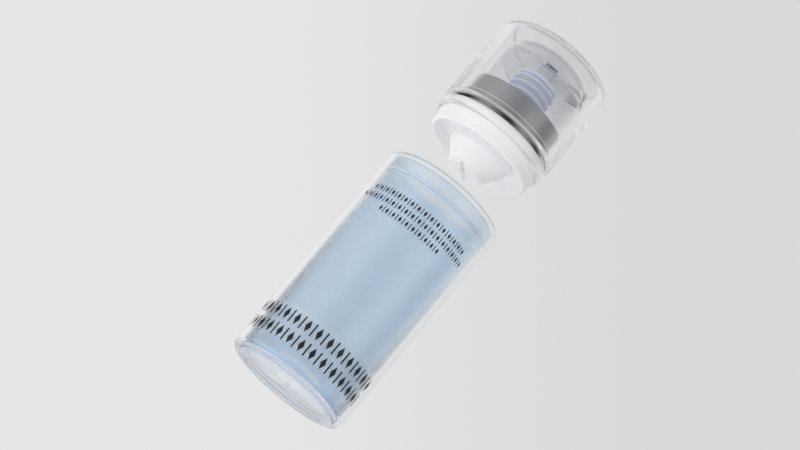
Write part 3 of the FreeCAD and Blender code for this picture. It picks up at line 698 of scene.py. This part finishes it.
class BOTTLE_OT_pump(Operator):
    """Turns the white pump pieces and the bellows, and finishes the rest of the pump"""
    bl_idname = "bottle.pump"
    bl_label = "Pump"

    def execute(self, context):
        sizes = context.scene.bottle_sizes
        finishes = context.scene.bottle_finishes
        white = white_plastic("white moulded polypropylene", finishes.white)
        dress(["inlet_valve", "stem_guide"], white)
        self.collar(sizes, white)
        self.housing(sizes, white)
        self.cage(sizes, white)
        roughness = 0.03
        ripple = 0.02
        pump_clear = clear_plastic("clear pump polypropylene", finishes.pump_clear, POLYPROPYLENE_IOR,
                                   roughness, ripple)
        dress(["actuator", "nozzle_insert", "stem"], pump_clear)
        let_light_in([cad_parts["actuator"]])
        roughness = 0.15
        blue = milky_plastic("blue soft polypropylene", finishes.bellows, MILKY_TRANSMISSION, roughness)
        self.bellows(sizes, blue)
        return {"FINISHED"}

    def bellows(self, sizes, material):
        """Turns the bellows with its folds."""
        crest, bottom, top = reach("bellows_spring")
        low = bottom + sizes.bellows_end
        high = top - sizes.bellows_end
        inner_root = sizes.bellows_root - sizes.bellows_wall
        fold = sizes.bellows_rounding
        fold_count = 4
        flat_share = 0.15
        pitch = (high - low) / fold_count
        flat = pitch * flat_share
        outside = []
        inside = []
        for points, wall in ((outside, 0), (inside, sizes.bellows_wall)):
            for turn in range(fold_count):
                start = low + pitch * turn
                middle = start + pitch / 2
                end = start + pitch
                points.append((sizes.bellows_root - wall, start + flat, fold / 2))
                points.append((crest - wall, middle - flat, fold))
                points.append((crest - wall, middle + flat, fold))
                points.append((sizes.bellows_root - wall, end - flat, fold / 2))
        inside.reverse()
        piece = turned_piece("blue_bellows", [
            (inner_root, bottom),
            (crest, bottom),
            (crest, low),
            *outside,
            (sizes.bellows_top, high),
            (sizes.bellows_top, top),
            (inner_root, top),
            *inside,
        ])
        fit_piece(piece, material, "bellows_spring", "pump_head")
        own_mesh(piece)

    def collar(self, sizes, material):
        """Turns the white collar with its stepped skirt, and cuts the slots of its snap ring."""
        outer, bottom, top = reach("collar")
        seat, shoulder_top = reach("shoulder_ring")[1:]
        step = seat - sizes.collar_step_drop
        web = seat - sizes.collar_web
        bore = sizes.bowl + sizes.fit_gap
        snap_bore = sizes.bowl + sizes.bowl_flange_width + sizes.fit_gap
        snap = snap_bore + sizes.snap_wall
        flange_top = seat + sizes.bowl_flange + sizes.fit_gap
        upstand = reach("metal_sleeve")[0] - sizes.sleeve_wall - sizes.fit_gap
        upstand_bore = upstand - sizes.upstand_wall
        skirt = sizes.skirt_radius
        skirt_bore = skirt - sizes.skirt_wall
        snap_top = seat + sizes.snap_height
        lip_bore = snap_bore - sizes.snap_lip
        soft = 2 * sizes.edge
        softer = 3 * sizes.edge
        piece = turned_piece("white_collar", [
            (bore, web),
            (skirt_bore, web, softer),
            (skirt_bore, bottom, soft),
            (skirt - sizes.skirt_chamfer, bottom, soft),
            (skirt, bottom + sizes.skirt_chamfer, softer),
            (skirt, step),
            (outer, step),
            (outer, shoulder_top),
            (upstand, shoulder_top),
            (upstand, top),
            (upstand_bore, top),
            (upstand_bore, seat),
            (snap, seat),
            (snap, snap_top),
            (snap_bore, snap_top),
            (lip_bore, flange_top + sizes.snap_lip, 0),
            (lip_bore, flange_top, 0),
            (snap_bore, flange_top, 0),
            (snap_bore, seat, 0),
            (bore, seat),
        ])
        slot_end = (snap + upstand_bore) / 2
        slot_count = 6
        slots = round_slots(slot_count, sizes.bowl, slot_end, sizes.snap_slot, seat,
                            seat + 2 * sizes.snap_height)
        cut_away(piece, slots)
        fit_piece(piece, material, "collar", "pump_head")

    def housing(self, sizes, material):
        """Turns the white funnel-bottomed bowl and the chamber's tube."""
        flange, bottom, top = reach("pump_housing")
        seat = reach("shoulder_ring")[1]
        bowl_bottom = seat - sizes.bowl_depth
        cone_bottom = bottom + sizes.tip_height
        bowl_bore = sizes.bowl - sizes.bowl_wall
        run = sizes.bowl - sizes.tip
        slope = (bowl_bottom - cone_bottom) / run
        lift = sizes.bowl_wall * math.hypot(run, bowl_bottom - cone_bottom) / run
        socket = sizes.tip - sizes.bowl_wall
        floor_bottom = bottom + sizes.cage_plug + sizes.fit_gap
        floor_top = floor_bottom + sizes.chamber_floor
        softer = 3 * sizes.edge
        piece = turned_piece("white_pump_housing", [
            (sizes.port, floor_bottom),
            (socket, floor_bottom, 0),
            (socket, bottom),
            (sizes.tip, bottom),
            (sizes.tip, cone_bottom, softer),
            (sizes.bowl, bowl_bottom, 2 * softer),
            (sizes.bowl, seat),
            (flange, seat),
            (flange, seat + sizes.bowl_flange),
            (bowl_bore, seat + sizes.bowl_flange),
            (bowl_bore, cone_bottom + (bowl_bore - sizes.tip) * slope + lift, softer),
            (sizes.tube, cone_bottom + (sizes.tube - sizes.tip) * slope + lift, softer),
            (sizes.tube, top),
            (sizes.chamber, top),
            (sizes.chamber, floor_top),
            (sizes.port, floor_top),
        ])
        fit_piece(piece, material, "pump_housing", "pump_head")

    def cage(self, sizes, material):
        """Turns the inlet cage and cuts the four slots in its face."""
        tip, bottom, top = reach("inlet_cage")
        plug = sizes.tip - sizes.bowl_wall - sizes.fit_gap
        shelf = top - sizes.cage_plug
        piece = turned_piece("white_inlet_cage", [
            (sizes.cage_hole, bottom),
            (tip, bottom, sizes.cage_rounding),
            (tip, shelf),
            (plug, shelf),
            (plug, top),
            (sizes.cage_hole, top),
        ])
        slot_count = 4
        overshoot = 1.2
        slots = round_slots(slot_count, sizes.cage_hole / 2, tip * overshoot, sizes.cage_slot_width,
                            bottom - sizes.cage_slot_depth, bottom + sizes.cage_slot_depth)
        cut_away(piece, slots)
        fit_piece(piece, material, "inlet_cage", "pump_head")


class BOTTLE_OT_metal(Operator):
    """Turns the trim band and the drawn sleeve"""
    bl_idname = "bottle.metal"
    bl_label = "Metal trim"

    def execute(self, context):
        sizes = context.scene.bottle_sizes
        finishes = context.scene.bottle_finishes
        trim, bottom, top = reach("trim_band")
        round_lines = (30, 30, 1)
        roughness = 0.08
        polished = metal("polished aluminium", finishes.bright_metal, roughness, round_lines)
        band = turned_piece("bright_trim", [
            (sizes.trim_bore, bottom, 0),
            (trim, bottom, sizes.trim_rounding),
            (trim, top, sizes.trim_rounding),
            (sizes.trim_bore, top, 0),
        ])
        fit_piece(band, polished, "trim_band", "pump_head")
        foot, foot_bottom, sleeve_top = reach("metal_sleeve")
        step_height = foot_bottom + sizes.sleeve_foot
        upper = foot - sizes.sleeve_step
        bend = sizes.sleeve_wall
        sleeve = turned_piece("drawn_sleeve", [
            (foot - sizes.sleeve_wall, foot_bottom, 0),
            (foot, foot_bottom, 0),
            (foot, step_height, bend),
            (upper, step_height + sizes.sleeve_wall, bend),
            (upper, sleeve_top),
            (upper - sizes.sleeve_wall, sleeve_top),
            (upper - sizes.sleeve_wall, step_height, 0),
            (foot - sizes.sleeve_wall, step_height - sizes.sleeve_wall, 0),
        ])
        # A near-white band painted round the sleeve at its step stands in for the highlight that its rounded
        # bend catches.
        hem_highlight = (finishes.hem_highlight, "height", step_height, sizes.hem_highlight_height)
        upright_lines = (1, 1, 40)
        roughness = 0.13
        drawn = metal("drawn aluminium", finishes.satin_metal, roughness, upright_lines, [hem_highlight])
        fit_piece(sleeve, drawn, "metal_sleeve", "pump_head")
        return {"FINISHED"}


class BOTTLE_OT_overcap(Operator):
    """Turns the clear overcap"""
    bl_idname = "bottle.overcap"
    bl_label = "Overcap"

    def execute(self, context):
        sizes = context.scene.bottle_sizes
        rim, bottom, top = reach("overcap")
        bore = rim - sizes.cap_wall
        ceiling = top - sizes.cap_top
        tint = context.scene.bottle_finishes.clear
        clear = clear_plastic("moulded clear acrylic", tint, ACRYLIC_IOR)
        cap = turned_piece("clear_overcap", [
            (bore, bottom, sizes.cap_rim_rounding),
            (rim, bottom, sizes.cap_rim_rounding),
            (rim - sizes.cap_draft, top, sizes.cap_outer_rounding),
            (sizes.gate_mark, top, sizes.gate_depth / 2),
            (sizes.gate_mark - sizes.gate_depth, top - sizes.gate_depth, sizes.gate_depth / 2),
            (0, top - sizes.gate_depth, 0),
            (0, ceiling, 0),
            (bore - sizes.cap_draft, ceiling, sizes.cap_inner_rounding),
        ], FINE_SPIN_STEPS)
        fit_piece(cap, clear, "overcap", "overcap_body")
        let_light_in([cap])
        return {"FINISHED"}


class BOTTLE_OT_prints(Operator):
    """Prints plain rows of lozenges and strokes on the outer bottle"""
    bl_idname = "bottle.prints"
    bl_label = "Printed marks"

    def execute(self, context):
        sizes = context.scene.bottle_sizes
        facing = context.scene.bottle_stage.camera_azimuth
        ink = printed_ink("screen-printed ink", context.scene.bottle_finishes.ink)
        bottle = bpy.data.objects["clear_bottle"]
        middle = facing - sizes.print_turn
        rows = []
        for side, pattern in ((1, ("lozenge", "stroke")), (-1, ("stroke", "lozenge"))):
            height = sizes.low_print + side * sizes.low_print_pitch / 2
            rows += self.row(pattern, middle, height, sizes.low_mark_turn, LARGE_MARKS,
                             sizes.low_mark_height, sizes.low_mark_width, sizes.low_stroke)
        self.finish(sizes, "large_print", rows, bottle, ink)
        rows = []
        for level, count in zip((1, 0, -1), SMALL_MARKS):
            height = sizes.high_print + level * sizes.high_print_pitch
            rows += self.row(("lozenge", "stroke"), middle, height, sizes.high_mark_turn, count,
                             sizes.high_mark_height, sizes.high_mark_width, sizes.high_stroke)
        self.finish(sizes, "small_print", rows, bottle, ink)
        return {"FINISHED"}

    def mark(self, kind, height, tall, wide, stroke):
        """Models one flat mark that stands in front of the bottle's wall."""
        stand_off = 1.02
        cuts = 3
        front = -reach("outer_bottle")[0] * stand_off
        bpy.ops.object.select_all(action="DESELECT")
        if kind == "stroke":
            bpy.ops.mesh.primitive_plane_add(size=1, location=(0, front, height),
                                             rotation=(math.pi / 2, 0, 0))
            bpy.ops.transform.resize(value=(stroke, 1, tall))
        else:
            bpy.ops.mesh.primitive_circle_add(vertices=4, radius=0.5, fill_type="NGON",
                                              location=(0, front, height), rotation=(math.pi / 2, 0, 0))
            bpy.ops.transform.resize(value=(wide, 1, tall))
        piece = bpy.context.active_object
        bpy.ops.object.transform_apply()
        bpy.ops.object.mode_set(mode="EDIT")
        bpy.ops.mesh.select_all(action="SELECT")
        bpy.ops.mesh.subdivide(number_cuts=cuts)
        bpy.ops.object.mode_set(mode="OBJECT")
        return piece

    def row(self, pattern, middle, height, pitch, count, tall, wide, stroke):
        """Lays one row of lozenges and strokes that repeat a pattern round the bottle."""
        start = middle - pitch * (count - 1) / 2
        pieces = []
        for kind in sorted(set(pattern)):
            steps = [step for step in range(count) if pattern[step % len(pattern)] == kind]
            angles = [start + pitch * step for step in steps]
            pieces.append(ring_of_copies(self.mark(kind, height, tall, wide, stroke), angles))
        return pieces

    def finish(self, sizes, name, rows, bottle, ink):
        """Wraps the rows onto the bottle and gives the ink its thickness."""
        select_only(rows)
        bpy.ops.object.join()
        piece = bpy.context.active_object
        piece.name = name
        piece.data.name = name
        wrap = piece.modifiers.new("wrap", "SHRINKWRAP")
        wrap.target = bottle
        wrap.wrap_method = "NEAREST_SURFACEPOINT"
        wrap.wrap_mode = "ABOVE_SURFACE"
        wrap.offset = sizes.print_lift
        bpy.ops.object.modifier_apply(modifier=wrap.name)
        body = piece.modifiers.new("ink", "SOLIDIFY")
        body.thickness = sizes.print_thickness
        body.offset = 1
        bpy.ops.object.modifier_apply(modifier=body.name)
        piece.data.materials.append(ink)
        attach(piece, "bottle")


def camera_axes(settings):
    """Returns the camera's right, up and back directions."""
    azimuth = settings.camera_azimuth
    elevation = settings.camera_elevation
    level = Vector((math.cos(azimuth), math.sin(azimuth), 0))
    back = Vector((math.sin(azimuth) * math.cos(elevation), -math.cos(azimuth) * math.cos(elevation),
                   math.sin(elevation)))
    above = back.cross(level)
    roll = settings.camera_roll
    right = above * math.sin(roll) + level * math.cos(roll)
    up = above * math.cos(roll) - level * math.sin(roll)
    return right, up, back


def place_camera(settings):
    """Adds the camera at the photograph's viewing angle."""
    data = bpy.data.cameras.new("view_camera")
    data.lens = settings.lens
    camera = bpy.data.objects.new("view_camera", data)
    bpy.context.collection.objects.link(camera)
    right, up, back = camera_axes(settings)
    azimuth = settings.camera_azimuth
    level = Vector((math.cos(azimuth), math.sin(azimuth), 0))
    target = Vector((0, 0, settings.target_height)) - level * settings.target_offset
    place = Matrix((right, up, back)).transposed().to_4x4()
    place.translation = target + back * settings.camera_distance
    camera.matrix_world = place
    bpy.context.scene.camera = camera


# Soft boxes and dark gaps round the bottle that clear plastic mirrors, as (degrees from the camera, level).
STUDIO_RING = ((-180, 0.75), (-140, 0.90), (-117, 0.71), (-57, 0.90), (0, 0.47), (45, 0.75), (83, 0.38),
               (117, 0.80), (140, 0.74), (165, 0.66), (180, 0.75))
# What the bare metal mirrors, with the dark end of the studio round the camera.
CAMERA_END = ((-180, 0.80), (-145, 0.80), (-125, 0.08), (-102, 0.04), (-55, 0.42), (0, 0.05), (36, 0.40),
              (82, 0.10), (118, 0.80), (180, 0.75))
# What lights the matt and white surfaces: even from the left and the front, weak from the right.
FILL_RING = ((-180, 0.85), (-100, 0.90), (-20, 0.92), (30, 0.82), (90, 0.36), (140, 0.42), (180, 0.85))

# Where a level starts and ends to change along a direction, from -1 to 1, and the two levels.
BACKDROP = (-0.09, 0.12, 0.79, 0.70)
FILL_BY_HEIGHT = (-0.9, 0.9, 1.25, 0.95)
OVERHEAD_EDGE = (0.40, 0.75, 0.0, 1.0)
OVERHEAD_LEVEL = 0.5
FLOOR_LEVEL = 0.92


def ring_level(tree, angle, stops):
    """Returns the level that a ring of soft boxes has at an angle round the bottle."""
    ramp = add_node(tree, "ValToRGB", links={"Fac": angle})
    ramp.color_ramp.interpolation = "EASE"
    elements = ramp.color_ramp.elements
    elements[0].color = (*grey(stops[0][1]), 1)
    elements[1].color = (*grey(stops[-1][1]), 1)
    for degrees, level in stops[1:-1]:
        element = elements.new((degrees + 180) / 360)
        element.color = (*grey(level), 1)
    return ramp.outputs["Color"]


def studio_world(settings):
    """Pale backdrop all round, and the studio's soft boxes for what is reflected or lit."""
    world = bpy.data.worlds.new("studio")
    bpy.context.scene.world = world
    world.use_nodes = True
    world.cycles.sampling_method = "NONE"
    tree = world.node_tree
    tree.nodes.clear()
    azimuth = settings.camera_azimuth
    level_right = Vector((math.cos(azimuth), math.sin(azimuth), 0))
    camera_side = Vector((math.sin(azimuth), -math.cos(azimuth), 0))
    direction = add_node(tree, "TexCoord").outputs["Generated"]
    path = add_node(tree, "LightPath").outputs

    def along(axis):
        """Returns how far a ray points along an axis, from -1 to 1."""
        return add_node(tree, "VectorMath", {"operation": "DOT_PRODUCT"},
                        {1: axis}, {0: direction}).outputs["Value"]

    def has_met(depth):
        """Returns 1 for a ray that has met a kind of surface, and 0 for one that has not."""
        return add_node(tree, "Math", {"operation": "GREATER_THAN"}, {1: 0.5}, {0: path[depth]}).outputs[0]

    backdrop = fade(tree, along(camera_axes(settings)[0]), *BACKDROP)
    turn = add_node(tree, "Math", {"operation": "ARCTAN2"},
                    links={0: along(level_right), 1: along(camera_side)}).outputs[0]
    angle = add_node(tree, "Math", {"operation": "MULTIPLY_ADD"},
                     {1: 0.5 / math.pi, 2: 0.5}, {0: turn}).outputs[0]
    ring = blend(tree, has_met("Transmission Depth"),
                 ring_level(tree, angle, CAMERA_END), ring_level(tree, angle, STUDIO_RING))
    upward = along(Vector((0, 0, 1)))
    studio = blend(tree, fade(tree, upward, *OVERHEAD_EDGE), ring, grey(OVERHEAD_LEVEL))
    fill = add_node(tree, "VectorMath", {"operation": "SCALE"},
                    links={0: ring_level(tree, angle, FILL_RING),
                           "Scale": fade(tree, upward, *FILL_BY_HEIGHT)}).outputs[0]
    lit = blend(tree, has_met("Glossy Depth"), backdrop, studio)
    level = blend(tree, has_met("Diffuse Depth"), lit, fill)
    background = add_node(tree, "Background", values={"Strength": 1.0}, links={"Color": level})
    add_node(tree, "OutputWorld", links={"Surface": background.outputs[0]})


class BOTTLE_OT_stage(Operator):
    """Adds the floor, the surroundings and the camera"""
    bl_idname = "bottle.stage"
    bl_label = "Stage"

    def execute(self, context):
        settings = context.scene.bottle_stage
        place_camera(settings)
        studio_world(settings)
        context.scene.view_settings.view_transform = "Standard"
        bpy.ops.object.select_all(action="DESELECT")
        bpy.ops.mesh.primitive_plane_add(size=settings.floor_width, location=(0, 0, settings.floor_height))
        floor = context.active_object
        floor.name = "studio_floor"
        floor.visible_diffuse = False
        floor.data.materials.append(painted_floor("matt painted floor", FLOOR_LEVEL))
        cycles = context.scene.cycles
        cycles.max_bounces = 96
        cycles.transmission_bounces = 96
        cycles.glossy_bounces = 64
        cycles.diffuse_bounces = 12
        cycles.blur_glossy = 0
        return {"FINISHED"}


class BOTTLE_PT_panel(Panel):
    """Lists the bottle's settings and steps"""
    bl_idname = "BOTTLE_PT_panel"
    bl_label = "Airless pump bottle"
    bl_space_type = "VIEW_3D"
    bl_region_type = "UI"
    bl_category = "Bottle"

    def draw(self, context):
        layout = self.layout
        scene = context.scene
        for group in (scene.bottle_sizes, scene.bottle_finishes, scene.bottle_stage):
            for name in group.bl_rna.properties.keys():
                if name not in ("rna_type", "name"):
                    layout.prop(group, name)
        for step in STEPS:
            layout.operator(step.bl_idname)


STEPS = (BOTTLE_OT_outer_bottle, BOTTLE_OT_inner_bottle, BOTTLE_OT_pump, BOTTLE_OT_metal, BOTTLE_OT_overcap,
         BOTTLE_OT_prints, BOTTLE_OT_stage)
CLASSES = (BottleSizes, BottleFinishes, StageSettings, *STEPS, BOTTLE_PT_panel)


def register():
    """Registers the settings, the steps and the panel."""
    for item in CLASSES:
        bpy.utils.register_class(item)
    bpy.types.Scene.bottle_sizes = PointerProperty(type=BottleSizes)
    bpy.types.Scene.bottle_finishes = PointerProperty(type=BottleFinishes)
    bpy.types.Scene.bottle_stage = PointerProperty(type=StageSettings)


def unregister():
    """Takes the settings, the steps and the panel out again."""
    del bpy.types.Scene.bottle_stage
    del bpy.types.Scene.bottle_finishes
    del bpy.types.Scene.bottle_sizes
    for item in reversed(CLASSES):
        bpy.utils.unregister_class(item)


def main():
    """Dresses the bottle step by step."""
    register()
    bpy.ops.bottle.outer_bottle()
    bpy.ops.bottle.inner_bottle()
    bpy.ops.bottle.pump()
    bpy.ops.bottle.metal()
    bpy.ops.bottle.overcap()
    bpy.ops.bottle.prints()
    bpy.ops.bottle.stage()


if __name__ == "__main__":
    main()
